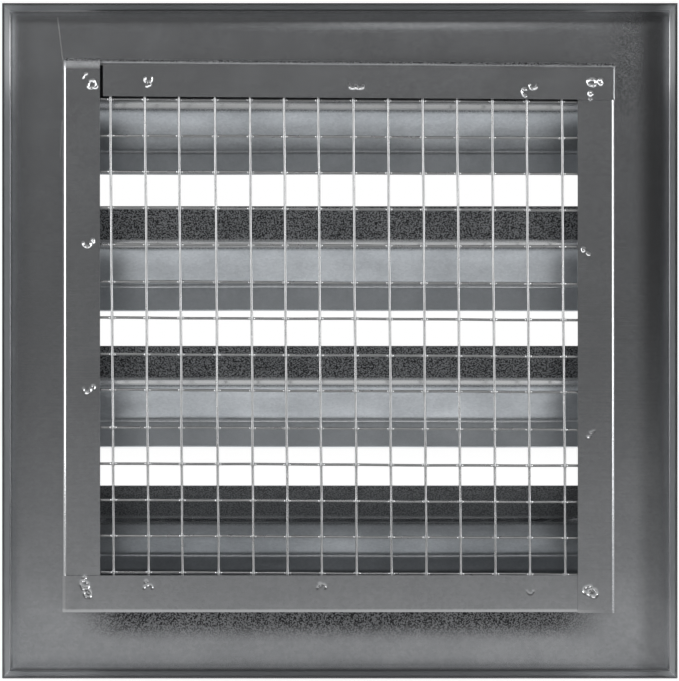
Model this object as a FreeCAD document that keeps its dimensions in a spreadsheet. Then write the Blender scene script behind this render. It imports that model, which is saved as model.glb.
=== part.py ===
"""Louvred gable vent in galvanised sheet steel, seen from its attic side along +Y.

X is to the right, Z is up and +Y points out to the weather. The origin is at the centre
of the flange, on the back of its face. All lengths are in millimetres.
"""
import FreeCAD, Part
import math
import os
import re
import Sketcher
from FreeCAD import Placement, Rotation, Vector

SIZES = {
    "gauge": "0.55",           # thickness of the galvanised sheet
    "bend_inside": "0.8",      # inside radius of every fold
    "lap_gap": "0.15",         # clearance between two sheets that lap
    "flange_side": "254",      # square face of the flange, over its returned edges
    "return_depth": "12.7",    # returned edges, from the back of the face to their rims
    "corner_seam": "0.4",      # open mitre where two returned edges meet
    "collar_depth": "12",      # collar turned back round the flange's opening
    "sleeve_side": "196.85",   # square sleeve, outside
    "sleeve_depth": "50.8",    # from the flange's back to the rear of the lips
    "sleeve_rise": "1.5",      # the sleeve sits this much above the flange's centre
    "sleeve_shift": "-0.35",   # and this much to the right of it
    "lip_width": "13.3",       # back lips, from the outside of the sleeve
    "tab_width": "10",         # corner tab of a sleeve side
    "tab_inset": "4.8",        # corner tab, back from the rear of the lips
    "tab_collar_gap": "2",     # corner tab, clear of the collar
    "blade_count": "4",        # louvre blades
    "blade_pitch": "50.5",     # height from one blade to the next
    "blade_top_gap": "0.2",    # the top blade's upper edge, below the sleeve's top wall
    "blade_setback": "10",     # upper edge of a blade, in front of the rear of the lips
    "band_run": "9.4",         # steep upper band of a blade: outwards
    "band_drop": "12.4",       # and down
    "step_run": "0.9",         # small step below the band: outwards
    "step_drop": "2",          # and down
    "slope_run": "18.3",       # main slope, down to the nose: outwards
    "slope_drop": "13.55",     # and down
    "drip_run": "11.7",        # drip edge, returned from the nose: inwards
    "drip_drop": "9.35",       # and down
    "blade_tab_width": "14",   # end tab of a blade, along the slope
    "blade_tab_height": "9",   # end tab of a blade, from the slope's underside
    "wire_width": "1",         # welded wire, across the corners of its section
    "wire_sink": "0.15",       # how far the wires sink into each other at a weld
    "upright_pitch": "12.4",   # upright wires, on the attic side of the cross wires
    "upright_lean": "-0.45",   # degrees, to the right at the top
    "cross_pitch": "12.97",    # cross wires
    "cross_fall": "0.3",       # degrees, down at the right
    "mesh_shift": "-0.4",      # middle of the mesh, to the right of the sleeve's
    "mesh_rise": "-0.1",       # and above it
    "mesh_inset": "5.2",       # ends of the wires, in from the outside of the sleeve
}

os.makedirs("parts", exist_ok=True)
doc = FreeCAD.newDocument("gable_vent")
sizes = doc.addObject("Spreadsheet::Sheet", "Sizes")
for line, (alias, value) in enumerate(SIZES.items(), start=1):
    sizes.set(f"A{line}", alias)
    sizes.set(f"B{line}", value)
    sizes.setAlias(f"B{line}", alias)
doc.recompute()
parts = []


def sized(formula):
    """Formula in which each name of the sheet reads its cell."""
    return re.sub(r"[a-z_]+", lambda word: "Sizes." + word[0] if word[0] in SIZES else word[0], formula)


def bind(thing, **formulas):
    """Tie properties to formulas of the sheet's names. A double underscore stands for a dot."""
    for name, formula in formulas.items():
        thing.setExpression(name.replace("__", "."), sized(formula))


def new_body(label, rest=Rotation()):
    """Empty body with its own label and turn, and the list entry that writes its file."""
    body = doc.addObject("PartDesign::Body", label)
    body.AllowCompound = True
    body.Placement = Placement(Vector(), rest)
    parts.append(body)
    return body


def origin_part(body, role):
    """Plane or axis of the body's own origin."""
    return next(part for part in body.Origin.OriginFeatures if part.Role == role)


def new_sketch(body, name, plane, offset="0", turn=Rotation()):
    """Empty sketch on one of the body's origin planes, moved along the plane's normal."""
    sketch = body.newObject("Sketcher::SketchObject", name)
    sketch.AttachmentSupport = [(origin_part(body, plane), "")]
    sketch.MapMode = "FlatFace"
    sketch.AttachmentOffset = Placement(Vector(), turn)
    bind(sketch, AttachmentOffset__Base__z=offset)
    return sketch


def add_loop(sketch, corners):
    """Closed outline whose corners are pairs of formulas, measured from the sketch's origin."""
    first = len(sketch.Geometry)
    count = len(corners)
    guess = [Vector(math.cos(math.tau * k / count), math.sin(math.tau * k / count)) for k in range(count)]
    for k in range(count):
        sketch.addGeometry(Part.LineSegment(guess[k], guess[(k + 1) % count]))
    for k in range(count):
        following = first + (k + 1) % count
        sketch.addConstraint(Sketcher.Constraint("Coincident", first + k, 2, following, 1))
    for k, (across, up) in enumerate(corners):
        for direction, place, formula in (("DistanceX", guess[k].x, across), ("DistanceY", guess[k].y, up)):
            rule = Sketcher.Constraint(direction, -1, 1, first + k, 1, place)
            number = sketch.addConstraint(rule)
            sketch.setExpression(f"Constraints[{number}]", sized(formula))


def square(half, right="0", up="0"):
    """Corners of a square, from its half side and its centre."""
    signs = ((-1, -1), (1, -1), (1, 1), (-1, 1))
    return [(f"{right} + {x} * ({half})", f"{up} + {z} * ({half})") for x, z in signs]


def add_pad(body, sketch, length, backwards=False, midplane=False):
    """Sheet metal of a sketch's outline, along the sketch's normal or against it."""
    pad = body.newObject("PartDesign::Pad", sketch.Name + "_pad")
    pad.Profile = sketch
    pad.Reversed = backwards
    pad.Midplane = midplane
    bind(pad, Length=length)
    doc.recompute()
    return pad


def round_edges(body, radius, chosen):
    """Fillet on each edge of the body's shape so far that passes the test."""
    base = body.Tip
    names = [f"Edge{k}" for k, edge in enumerate(base.Shape.Edges, start=1) if chosen(edge)]
    fillet = body.newObject("PartDesign::Fillet", base.Name + "_bend")
    fillet.Base = (base, names)
    bind(fillet, Radius=radius)
    doc.recompute()
    return fillet


def close(first, second):
    """True for two lengths that are the same to a hundredth."""
    return abs(first - second) < 0.01


def make_flange():
    """Face plate, returned edges and collar, folded from one sheet with mitred corners."""
    body = new_body("face_flange")
    face = new_sketch(body, "face", "XZ_Plane")
    opening = "sleeve_side / 2 + lap_gap"
    add_loop(face, square("flange_side / 2"))
    add_loop(face, square(opening, "sleeve_shift", "sleeve_rise"))
    add_pad(body, face, "gauge", backwards=True)
    edges = new_sketch(body, "returned_edges", "XZ_Plane")
    add_loop(edges, square("flange_side / 2"))
    add_loop(edges, square("flange_side / 2 - gauge"))
    add_pad(body, edges, "return_depth")
    collar = new_sketch(body, "collar", "XZ_Plane")
    add_loop(collar, square(opening, "sleeve_shift", "sleeve_rise"))
    add_loop(collar, square(opening + " + gauge", "sleeve_shift", "sleeve_rise"))
    add_pad(body, collar, "collar_depth")

    half = sizes.flange_side / 2
    opening_half = sizes.sleeve_side / 2 + sizes.lap_gap

    def on_square(edge, depth, half_side, right=0.0, up=0.0):
        box = edge.BoundBox
        middle = box.Center
        reach = max(abs(middle.x - right), abs(middle.z - up))
        return close(box.YLength, 0) and close(middle.y, depth) and close(reach, half_side)

    def inside_fold(edge):
        outer = on_square(edge, 0, half - sizes.gauge)
        inner = on_square(edge, 0, opening_half + sizes.gauge, sizes.sleeve_shift, sizes.sleeve_rise)
        return outer or inner

    def outside_fold(edge):
        outer = on_square(edge, sizes.gauge, half)
        inner = on_square(edge, sizes.gauge, opening_half, sizes.sleeve_shift, sizes.sleeve_rise)
        return outer or inner

    round_edges(body, "bend_inside", inside_fold)
    round_edges(body, "bend_inside + gauge", outside_fold)

    seam = new_sketch(body, "mitre", "XZ_Plane")
    near = "(flange_side / 2 - gauge - 2 * bend_inside"
    far = "(flange_side / 2 + gauge"
    for x, z in ((1, 1), (-1, 1), (-1, -1), (1, -1)):
        corners = [
            (f"{x} * {near} + corner_seam / 2)", f"{z} * {near} - corner_seam / 2)"),
            (f"{x} * {far} + corner_seam / 2)", f"{z} * {far} - corner_seam / 2)"),
            (f"{x} * {far} - corner_seam / 2)", f"{z} * {far} + corner_seam / 2)"),
            (f"{x} * {near} - corner_seam / 2)", f"{z} * {near} + corner_seam / 2)"),
        ]
        add_loop(seam, corners)
    whole = body.Tip.Shape.Volume
    cut = body.newObject("PartDesign::Pocket", "open_mitres")
    cut.Profile = seam
    cut.Reversed = True
    bind(cut, Length="return_depth")
    doc.recompute()
    assert cut.Shape.Volume < whole, "the mitres cut nothing"


def make_sleeve_side(label, turn):
    """Wall, back lip and corner tab of one side, folded from one sheet.

    The side is drawn as the top one, with its centre on the sleeve's axis. Its lip covers the
    next side's lip at +X and is tucked one sheet under its neighbour at -X, so the whole fold
    leans back by that much from one end to the other.
    """
    body = new_body(label, Rotation(Vector(0, 1, 0), turn))
    bind(body, Placement__Base__x="sleeve_shift", Placement__Base__z="sleeve_rise")
    outside = "sleeve_side / 2"
    tuck = "(gauge + lap_gap)"
    tucked_end = f"({outside} - gauge - bend_inside)"
    section = new_sketch(body, label + "_section", "YZ_Plane", f"-{tucked_end}")
    rear = f"-sleeve_depth + {tuck}"
    add_loop(section, [
        ("0", outside),
        (rear, outside),
        (rear, f"{outside} - lip_width"),
        (f"{rear} + gauge", f"{outside} - lip_width"),
        (f"{rear} + gauge", f"{outside} - gauge"),
        ("0", f"{outside} - gauge"),
    ])
    run = f"({outside} + {tucked_end})"
    fold = body.newObject("PartDesign::Pad", label + "_sheet")
    fold.Profile = section
    fold.UseCustomVector = True
    fold.AlongSketchNormal = True
    fold.Direction = Vector(1, 0, 0)
    bind(fold, Length=run, Direction__y=f"-{tuck} / {run}")
    doc.recompute()

    half = sizes.sleeve_side / 2
    lean = sizes.gauge + sizes.lap_gap

    def along(edge, depth, height):
        middle = edge.CenterOfMass
        return edge.BoundBox.XLength > half and close(middle.y, depth) and close(middle.z, height)

    rear_face = -sizes.sleeve_depth + lean / 2
    lip_face = rear_face + sizes.gauge
    round_edges(body, "bend_inside", lambda edge: along(edge, lip_face, half - sizes.gauge))
    round_edges(body, "bend_inside + gauge", lambda edge: along(edge, rear_face, half))

    tab = new_sketch(body, label + "_tab", "XZ_Plane", "collar_depth + tab_collar_gap")
    laid = f"{outside} + lap_gap"
    corners = [
        (f"{outside} - gauge", outside),
        (f"{laid} + gauge", outside),
        (f"{laid} + gauge", f"{outside} - tab_width"),
        (laid, f"{outside} - tab_width"),
        (laid, f"{outside} - gauge"),
        (f"{outside} - gauge", f"{outside} - gauge"),
    ]
    add_loop(tab, corners)
    add_pad(body, tab, "sleeve_depth - tab_inset - collar_depth - tab_collar_gap")
    corner = half + sizes.lap_gap + sizes.gauge
    round_edges(body, "gauge", lambda edge: close(edge.CenterOfMass.x, corner)
                and close(edge.CenterOfMass.z, half) and edge.BoundBox.YLength > sizes.tab_width)


def add_folded_strip(sketch, legs, thickness):
    """Section of a folded strip: its lower face through the legs, and the sheet above it.

    Each leg is (name of its run, sign, name of its drop). The upper face starts as the lower
    one moved square to each leg, and constraints then hold the sheet's thickness.
    """
    lower = [Vector(0, 0)]
    for run, sign, drop in legs:
        lower.append(lower[-1] + Vector(sign * sizes.get(run), -sizes.get(drop)))
    normals = []
    for start, end in zip(lower, lower[1:]):
        leg = (end - start).normalize()
        normals.append(Vector(-leg.y, leg.x))
    upper = [lower[0] + normals[0] * sizes.gauge]
    for place, before, after in zip(lower[1:], normals, normals[1:]):
        mitre = (before + after) / (1 + before.dot(after))
        upper.append(place + mitre * sizes.gauge)
    upper.append(lower[-1] + normals[-1] * sizes.gauge)

    path = lower + upper[::-1]
    count = len(path)
    for k in range(count):
        sketch.addGeometry(Part.LineSegment(path[k], path[(k + 1) % count]))
    for k in range(count):
        sketch.addConstraint(Sketcher.Constraint("Coincident", k, 2, (k + 1) % count, 1))
    sketch.addConstraint(Sketcher.Constraint("Coincident", 0, 1, -1, 1))
    for k, (run, sign, drop) in enumerate(legs):
        start, end = lower[k], lower[k + 1]
        across = sketch.addConstraint(Sketcher.Constraint("DistanceX", k, 1, k, 2, end.x - start.x))
        sketch.setExpression(f"Constraints[{across}]", sized(f"{sign} * {run}"))
        down = sketch.addConstraint(Sketcher.Constraint("DistanceY", k, 1, k, 2, end.y - start.y))
        sketch.setExpression(f"Constraints[{down}]", sized(f"-{drop}"))
        opposite = count - 2 - k
        sketch.addConstraint(Sketcher.Constraint("Parallel", k, opposite))
        apart = sketch.addConstraint(Sketcher.Constraint("Distance", opposite, 1, k, sizes.gauge))
        sketch.setExpression(f"Constraints[{apart}]", sized(thickness))
    sketch.addConstraint(Sketcher.Constraint("Perpendicular", len(legs), len(legs) - 1))
    sketch.addConstraint(Sketcher.Constraint("Perpendicular", count - 1, 0))


def make_blade(number):
    """Fixed louvre blade, folded from one strip, with a tab turned up at each end.

    Its own origin is on its upper edge. Seen from the attic the band and the slope show their
    undersides, and the drip edge comes back from the nose with its upper side in view.
    """
    label = f"blade_{number}"
    body = new_body(label)
    ceiling = "sleeve_side / 2 - gauge + sleeve_rise"
    edge_height = "gauge * band_run / hypot(band_run; band_drop)"
    bind(body, Placement__Base__x="sleeve_shift",
         Placement__Base__y="-sleeve_depth + blade_setback",
         Placement__Base__z=f"{ceiling} - blade_top_gap - {edge_height} - {number - 1} * blade_pitch")
    reach = "(sleeve_side / 2 - gauge - lap_gap)"
    legs = [("band_run", 1, "band_drop"), ("step_run", 1, "step_drop"),
            ("slope_run", 1, "slope_drop"), ("drip_run", -1, "drip_drop")]
    section = new_sketch(body, label + "_section", "YZ_Plane")
    add_folded_strip(section, legs, "gauge")
    add_pad(body, section, f"2 * ({reach} - gauge - bend_inside)", midplane=True)

    below_band, below_step, below_nose, _, _, above_nose, above_step, above_band = [
        line.StartPoint for line in section.Geometry[1:-1]]

    def at(places):
        def chosen(edge):
            middle = edge.CenterOfMass
            return any(close(middle.y, place.x) and close(middle.z, place.y) for place in places) \
                and edge.BoundBox.XLength > sizes.sleeve_side / 2
        return chosen

    round_edges(body, "bend_inside", at([below_band, above_step, below_nose]))
    round_edges(body, "bend_inside + gauge", at([above_band, below_step, above_nose]))

    share = "(1 + blade_tab_width / hypot(slope_run; slope_drop)) / 2"
    tab = new_sketch(body, label + "_tab", "XZ_Plane",
                     f"-(band_run + step_run + slope_run * {share})", Rotation(Vector(1, 0, 0), -30))
    bind(tab, AttachmentOffset__Base__y=f"-(band_drop + step_drop + slope_drop * {share})",
         AttachmentOffset__Rotation__Angle="-atan(slope_drop / slope_run)")
    inner = f"{reach} - 2 * gauge - bend_inside"
    add_loop(tab, [
        (inner, "0"),
        (reach, "0"),
        (reach, "blade_tab_height"),
        (f"{reach} - gauge", "blade_tab_height"),
        (f"{reach} - gauge", "gauge"),
        (inner, "gauge"),
    ])
    right = add_pad(body, tab, "blade_tab_width")
    left = body.newObject("PartDesign::Mirrored", label + "_other_tab")
    left.Originals = [right]
    left.MirrorPlane = (origin_part(body, "YZ_Plane"), [""])
    body.Tip = left
    doc.recompute()


def make_screen():
    """Welded wire mesh: uprights nearest the attic, cross wires sunk a little into them.

    There are as many wires as the opening between the lips has room for, and every wire runs
    on under the lips.
    """
    flat = math.cos(math.pi / 6)
    depth = f"-sleeve_depth + 2 * gauge + 2 * lap_gap + wire_width * {flat} / 2"
    behind = f"{depth} + wire_width * {flat} * (1 - wire_sink)"
    reach = "(sleeve_side / 2 - mesh_inset)"
    middle_x = "sleeve_shift + mesh_shift"
    middle_z = "sleeve_rise + mesh_rise"
    window = sizes.sleeve_side - 2 * sizes.lip_width
    upright_count = int(window / sizes.upright_pitch) + 1
    cross_count = int(window / sizes.cross_pitch) + 1
    wires = []

    def add_wire(name, turn, x, y, z):
        wire = doc.addObject("Part::Prism", name)
        wire.Polygon = 6
        wire.Placement = Placement(Vector(), Rotation(Vector(0, 1, 0), 1))
        bind(wire, Circumradius="wire_width / 2", Height=f"2 * {reach}", Placement__Rotation__Angle=turn,
             Placement__Base__x=f"{x} - {reach} * sin({turn} * 1deg)",
             Placement__Base__y=y,
             Placement__Base__z=f"{z} - {reach} * cos({turn} * 1deg)")
        wires.append(wire)

    for k in range(upright_count):
        across = f"{middle_x} + ({k} - {(upright_count - 1) / 2}) * upright_pitch"
        add_wire(f"upright_{k + 1}", "upright_lean", across, depth, middle_z)
    for k in range(cross_count):
        up = f"{middle_z} + ({k} - {(cross_count - 1) / 2}) * cross_pitch"
        add_wire(f"cross_wire_{k + 1}", "(90 + cross_fall)", middle_x, behind, up)
    mesh = doc.addObject("Part::MultiFuse", "screen")
    mesh.Shapes = wires
    parts.append(mesh)
    doc.recompute()


make_flange()
for place, side in enumerate(("top", "right", "bottom", "left")):
    make_sleeve_side("sleeve_" + side, 90 * place)
for blade in range(int(sizes.blade_count)):
    make_blade(blade + 1)
make_screen()
doc.recompute()

for thing in doc.Objects:
    assert not {"Invalid", "Error"} & set(thing.State), f"{thing.Label} has failed"
for part in parts:
    assert not part.Shape.isNull() and part.Shape.isValid(), f"{part.Label} has no sound shape"
    assert len(part.Shape.Solids) == 1, f"{part.Label} is in pieces"
    part.Shape.exportStep(f"parts/{part.Label}.step")
    box = part.Shape.BoundBox
    print(f"{part.Label}: {part.Shape.Volume:.0f} mm3, "
          f"x {box.XMin:.2f} to {box.XMax:.2f}, y {box.YMin:.2f} to {box.YMax:.2f}, "
          f"z {box.ZMin:.2f} to {box.ZMax:.2f}")
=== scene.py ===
# %% [markdown]
# # A louvred gable vent in galvanised sheet steel
#
# The vent is seen from its attic side, as it stands in the picture. A square flange lies
# against the wall, a folded sleeve runs back from it, four slanted blades keep the rain out,
# and a welded wire mesh keeps birds and insects out. The picture looks straight along +Y.
# X is to the right, Z is up, and +Y points out to the weather.

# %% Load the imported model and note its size
import math

import bmesh
import bpy
import numpy as np
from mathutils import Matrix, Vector


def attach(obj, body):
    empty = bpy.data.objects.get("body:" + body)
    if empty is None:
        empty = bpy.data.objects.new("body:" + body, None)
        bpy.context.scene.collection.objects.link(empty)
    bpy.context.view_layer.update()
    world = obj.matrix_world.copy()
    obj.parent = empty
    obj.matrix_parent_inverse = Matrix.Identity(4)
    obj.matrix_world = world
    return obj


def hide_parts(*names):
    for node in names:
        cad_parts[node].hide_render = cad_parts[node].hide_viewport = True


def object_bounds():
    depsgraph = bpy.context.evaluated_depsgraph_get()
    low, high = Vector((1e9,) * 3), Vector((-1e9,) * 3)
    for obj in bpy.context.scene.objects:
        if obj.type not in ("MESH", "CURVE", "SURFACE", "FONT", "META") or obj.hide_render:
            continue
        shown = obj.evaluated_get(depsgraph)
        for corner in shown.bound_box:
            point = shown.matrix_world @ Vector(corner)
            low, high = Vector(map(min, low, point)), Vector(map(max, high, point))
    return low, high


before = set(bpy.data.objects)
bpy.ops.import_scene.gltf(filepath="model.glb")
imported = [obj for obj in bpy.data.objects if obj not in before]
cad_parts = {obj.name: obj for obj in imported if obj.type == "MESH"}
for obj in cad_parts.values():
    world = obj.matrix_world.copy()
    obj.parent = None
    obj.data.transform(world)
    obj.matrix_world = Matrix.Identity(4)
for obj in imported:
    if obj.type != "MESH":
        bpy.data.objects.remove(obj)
cad_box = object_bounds()
MM = 0.001
print("solids in the frame:", len(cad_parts), "box in metres:", cad_box)

# %% [markdown]
# ## The camera
#
# The vent fills the picture, and its back lips look larger than its collar, so the camera
# stands close. The widths of the flange and of the sleeve, which is 50.8 mm nearer, give the
# distance. A longer lens from further away would make the sleeve look too small.

# %% Camera of the picture
LENS = 100.94
SENSOR = 36
CAMERA_DISTANCE = 730.8
CAMERA_SHIFT = (-0.13, 0.1)
FOCAL_PIXELS = 1909.4
PICTURE_CENTRE = (339.35, 340.3)
camera_data = bpy.data.cameras.new("picture_camera")
camera_data.sensor_fit = "AUTO"
camera_data.sensor_width = SENSOR
camera_data.lens = LENS
camera = bpy.data.objects.new("picture_camera", camera_data)
camera.location = (CAMERA_SHIFT[0] * MM, -CAMERA_DISTANCE * MM, CAMERA_SHIFT[1] * MM)
camera.rotation_euler = (math.pi / 2, 0, 0)
bpy.context.collection.objects.link(camera)
bpy.context.scene.camera = camera


def seen_at(right, down, depth):
    """Place in millimetres, on the upright plane at that depth, that a pixel of the picture shows.

    The offset from the picture's centre times the distance over the focal length.
    """
    per_pixel = (CAMERA_DISTANCE + depth) / FOCAL_PIXELS
    return (right - PICTURE_CENTRE[0]) * per_pixel, (PICTURE_CENTRE[1] - down) * per_pixel


print("the picture's left edge is at x =", round(seen_at(0, 0, 0)[0], 1), "mm on the flange")

# %% [markdown]
# ## Light
#
# Bare zinc has hardly a colour of its own: it shows what stands round it. In the picture the
# room behind the vent is white and the room behind the camera is dim, and this makes the
# lips grey and the blades bright. A world with one brightness could not show that, so the
# world goes from dim at the camera's side to white beyond the vent. The camera itself always
# sees white. Two soft lamps at the sides draw the bright lines on the side folds. A long lamp
# high behind the camera brightens what faces up and back, such as the blades' slopes, and a
# weaker one on the weather side lights the faces that look out.

# %% World: dim behind the camera, white beyond the vent
def add_node(tree, kind, inputs=None, **settings):
    """One shader node with its settings. An input is either a number or another node's output."""
    made = tree.nodes.new("ShaderNode" + kind)
    for name, value in settings.items():
        setattr(made, name, value)
    for socket, value in (inputs or {}).items():
        if isinstance(value, bpy.types.NodeSocket):
            tree.links.new(value, made.inputs[socket])
        else:
            made.inputs[socket].default_value = value
    return made


def remap(tree, value, low, high, to_low=0.0, to_high=1.0):
    """Smooth step of a value from one range to another."""
    inputs = {"Value": value, "From Min": low, "From Max": high,
              "To Min": to_low, "To Max": to_high}
    return add_node(tree, "MapRange", inputs, interpolation_type="SMOOTHSTEP").outputs["Result"]


def combine(tree, way, first, second):
    """Sum, product or another pairing of two values."""
    return add_node(tree, "Math", {0: first, 1: second}, operation=way).outputs["Value"]


def between(tree, factor, first, second):
    """Value between two values: first * (1 - factor) + second * factor."""
    return add_node(tree, "Mix", {0: factor, 2: first, 3: second}, data_type="FLOAT").outputs[0]


WHITE = (1.0, 1.0, 1.0, 1.0)
ROOM_BEHIND_CAMERA = 0.13
ROOM_LOW_BEHIND_CAMERA = 0.20
ROOM_BEYOND_VENT = 1.0
LOW_TO_HIGH = (-0.5, 0.4)
NEAR_TO_BEYOND = (0.45, 0.85)

world = bpy.data.worlds.new("pale_room")
world.use_nodes = True
bpy.context.scene.world = world
room = world.node_tree
room.nodes.clear()
way = add_node(room, "TexCoord").outputs["Generated"]
parts_of_way = add_node(room, "SeparateXYZ", {"Vector": way}).outputs
behind = remap(room, parts_of_way["Z"], *LOW_TO_HIGH, ROOM_LOW_BEHIND_CAMERA, ROOM_BEHIND_CAMERA)
outward = remap(room, parts_of_way["Y"], *NEAR_TO_BEYOND)
level = between(room, outward, behind, ROOM_BEYOND_VENT)
shown = between(room, add_node(room, "LightPath").outputs["Is Camera Ray"], level, 1.0)
background = add_node(room, "Background", {"Color": WHITE, "Strength": shown})
add_node(room, "OutputWorld", {"Surface": background.outputs["Background"]})
print("world nodes:", len(room.nodes))

# %% Four soft lamps
def add_lamp(name, place, width, height, power):
    """Area lamp that looks from its place to the middle of the vent. Lengths are in metres."""
    data = bpy.data.lights.new(name, "AREA")
    data.shape = "RECTANGLE"
    data.size, data.size_y, data.energy = width, height, power
    lamp = bpy.data.objects.new(name, data)
    lamp.location = place
    lamp.rotation_euler = (-Vector(place)).to_track_quat("-Z", "Y").to_euler()
    bpy.context.collection.objects.link(lamp)


add_lamp("left_lamp", (-1.0, -0.70, 0.1), width=0.9, height=0.9, power=8.5)
add_lamp("right_lamp", (1.0, -0.60, 0.1), width=0.9, height=0.9, power=8.5)
add_lamp("high_lamp", (0.0, -1.10, 0.73), width=1.8, height=0.45, power=4.0)
add_lamp("weather_lamp", (0.0, 1.3, 0.9), width=1.6, height=1.0, power=2.5)

# %% [markdown]
# ## The floor
#
# The vent stands on its lower edge on a white table. The table is a matt sheet that also glows.
# The camera sees the stronger glow, so the table reads as white and still shows the vent's
# soft shadow. The metal mirrors a weaker glow, and only from the part beside the vent.

# %% White table under the lower edge
FLOOR_HALF = 4.0
TABLE_IN_VIEW = 0.82
TABLE_IN_METAL = 0.30
TABLE_COLOUR = (0.45, 0.45, 0.45, 1.0)
MIRRORED_FROM = (-0.38, -0.12)
floor_mesh = bpy.data.meshes.new("white_table")
low = cad_box[0][2]
floor_corners = [(-FLOOR_HALF, -FLOOR_HALF, low), (FLOOR_HALF, -FLOOR_HALF, low),
                 (FLOOR_HALF, FLOOR_HALF, low), (-FLOOR_HALF, FLOOR_HALF, low)]
floor_mesh.from_pydata(floor_corners, [], [(0, 1, 2, 3)])
floor = bpy.data.objects.new("white_table", floor_mesh)
bpy.context.collection.objects.link(floor)

table_white = bpy.data.materials.new("table_white")
table_white.use_nodes = True
tree = table_white.node_tree
tree.nodes.clear()
ray = add_node(tree, "LightPath").outputs
mirrored = combine(tree, "MAXIMUM", ray["Is Glossy Ray"], ray["Is Transmission Ray"])
table_place = add_node(tree, "TexCoord").outputs["Object"]
table_depth = add_node(tree, "SeparateXYZ", {"Vector": table_place}).outputs["Y"]
near = remap(tree, table_depth, *MIRRORED_FROM)
seen = combine(tree, "MAXIMUM", ray["Is Camera Ray"], combine(tree, "MULTIPLY", mirrored, near))
matt = add_node(tree, "BsdfDiffuse", {"Color": TABLE_COLOUR}).outputs["BSDF"]
glow_level = between(tree, ray["Is Camera Ray"], TABLE_IN_METAL, TABLE_IN_VIEW)
glow_seen = combine(tree, "MULTIPLY", seen, glow_level)
glow = add_node(tree, "Emission", {"Strength": glow_seen}).outputs["Emission"]
both = add_node(tree, "AddShader", {0: matt, 1: glow}).outputs["Shader"]
add_node(tree, "OutputMaterial", {"Surface": both})
floor_mesh.materials.append(table_white)
print("table at z =", round(low, 4), "m")

# %% [markdown]
# ## How sheet metal becomes a mesh
#
# A folded sheet is a middle line with rounded corners, carried along a straight path. Its two
# faces lie half a gauge to each side, and narrow rims close them. Working both faces out as
# whole arrays gives every fold its true inside and outside radius. A Solidify modifier would
# be shorter, but it leaves no control over tabs that grow out of an edge.

# %% Middle line of a folded strip
GAUGE = 0.55
BEND_INSIDE = 0.8
BEND_MIDDLE = BEND_INSIDE + GAUGE / 2


def folded_line(corners, step, radius=BEND_MIDDLE, arc_steps=7):
    """Points and unit normals along a line of straight legs with an arc at each corner.

    Every arc touches both its legs: it starts radius * tan(turn / 2) before the corner. The
    normal is the direction turned a quarter to the left. Also gives the row of each corner.
    """
    corners = np.asarray(corners, float)
    legs = np.diff(corners, axis=0)
    lengths = np.linalg.norm(legs, axis=1)
    ways = legs / lengths[:, None]
    cross = ways[:-1, 0] * ways[1:, 1] - ways[:-1, 1] * ways[1:, 0]
    turns = np.arctan2(cross, (ways[:-1] * ways[1:]).sum(axis=1))
    setback = np.concatenate([[0], radius * np.tan(np.abs(turns) / 2), [0]])
    points, headings, rows = [], [], [0]
    for k, (start, length) in enumerate(zip(corners, lengths)):
        near, far = setback[k], length - setback[k + 1]
        along = np.linspace(near, far, max(2, int(np.ceil((far - near) / step)) + 1))
        points.append(start + along[:, None] * ways[k])
        headings.append(np.full(len(along), math.atan2(ways[k, 1], ways[k, 0])))
        if k < len(turns) and abs(turns[k]) > 1e-6:
            share = np.linspace(0, 1, arc_steps + 1)[1:-1]
            angle = headings[-1][-1] + share * turns[k]
            side = math.copysign(1, turns[k])
            begin = headings[-1][-1]
            centre = points[-1][-1] + side * radius * np.array([-math.sin(begin), math.cos(begin)])
            spoke = side * radius * np.stack([np.sin(angle), -np.cos(angle)], axis=1)
            rows.append(sum(map(len, points)) + len(share) // 2)
            points.append(centre + spoke)
            headings.append(angle)
        elif k < len(turns):
            rows.append(sum(map(len, points)) - 1)
            corners[k + 1] = points[-1][-1]
            points[-1], headings[-1] = points[-1][:-1], headings[-1][:-1]
    rows.append(sum(map(len, points)) - 1)
    points, headings = np.concatenate(points), np.concatenate(headings)
    return points, np.stack([-np.sin(headings), np.cos(headings)], axis=1), rows


line, _, line_rows = folded_line([(0, 0), (10, 0), (10, 10)], 2)
print("a right-angled fold has", len(line), "points, its corner is row", line_rows[1])

# %% Two faces and their rims
def sheet_faces(rows, columns, rims="abcd", skip_last=None):
    """Faces of a sheet whose vertices are a front grid and then a back grid of the same shape.

    The rims are the strips between the two grids: a and b at the first and last row, c and d
    at the first and last column. A range of rows can be left out of d, where a tab goes on.
    """
    front = np.arange(rows * columns).reshape(rows, columns)
    back = front + rows * columns
    quads = [np.stack([front[:-1, :-1], front[:-1, 1:], front[1:, 1:], front[1:, :-1]], -1),
             np.stack([back[:-1, :-1], back[1:, :-1], back[1:, 1:], back[:-1, 1:]], -1)]
    borders = {"a": (front[0], back[0]), "b": (front[-1], back[-1]),
               "c": (front[:, 0], back[:, 0]), "d": (front[:, -1], back[:, -1])}
    for rim in rims:
        near, far = borders[rim]
        strip = np.stack([near[:-1], near[1:], far[1:], far[:-1]], -1)
        if rim == "d" and skip_last:
            strip = np.delete(strip, np.arange(*skip_last), axis=0)
        quads.append(strip)
    return np.concatenate([quad.reshape(-1, 4) for quad in quads])


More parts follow.
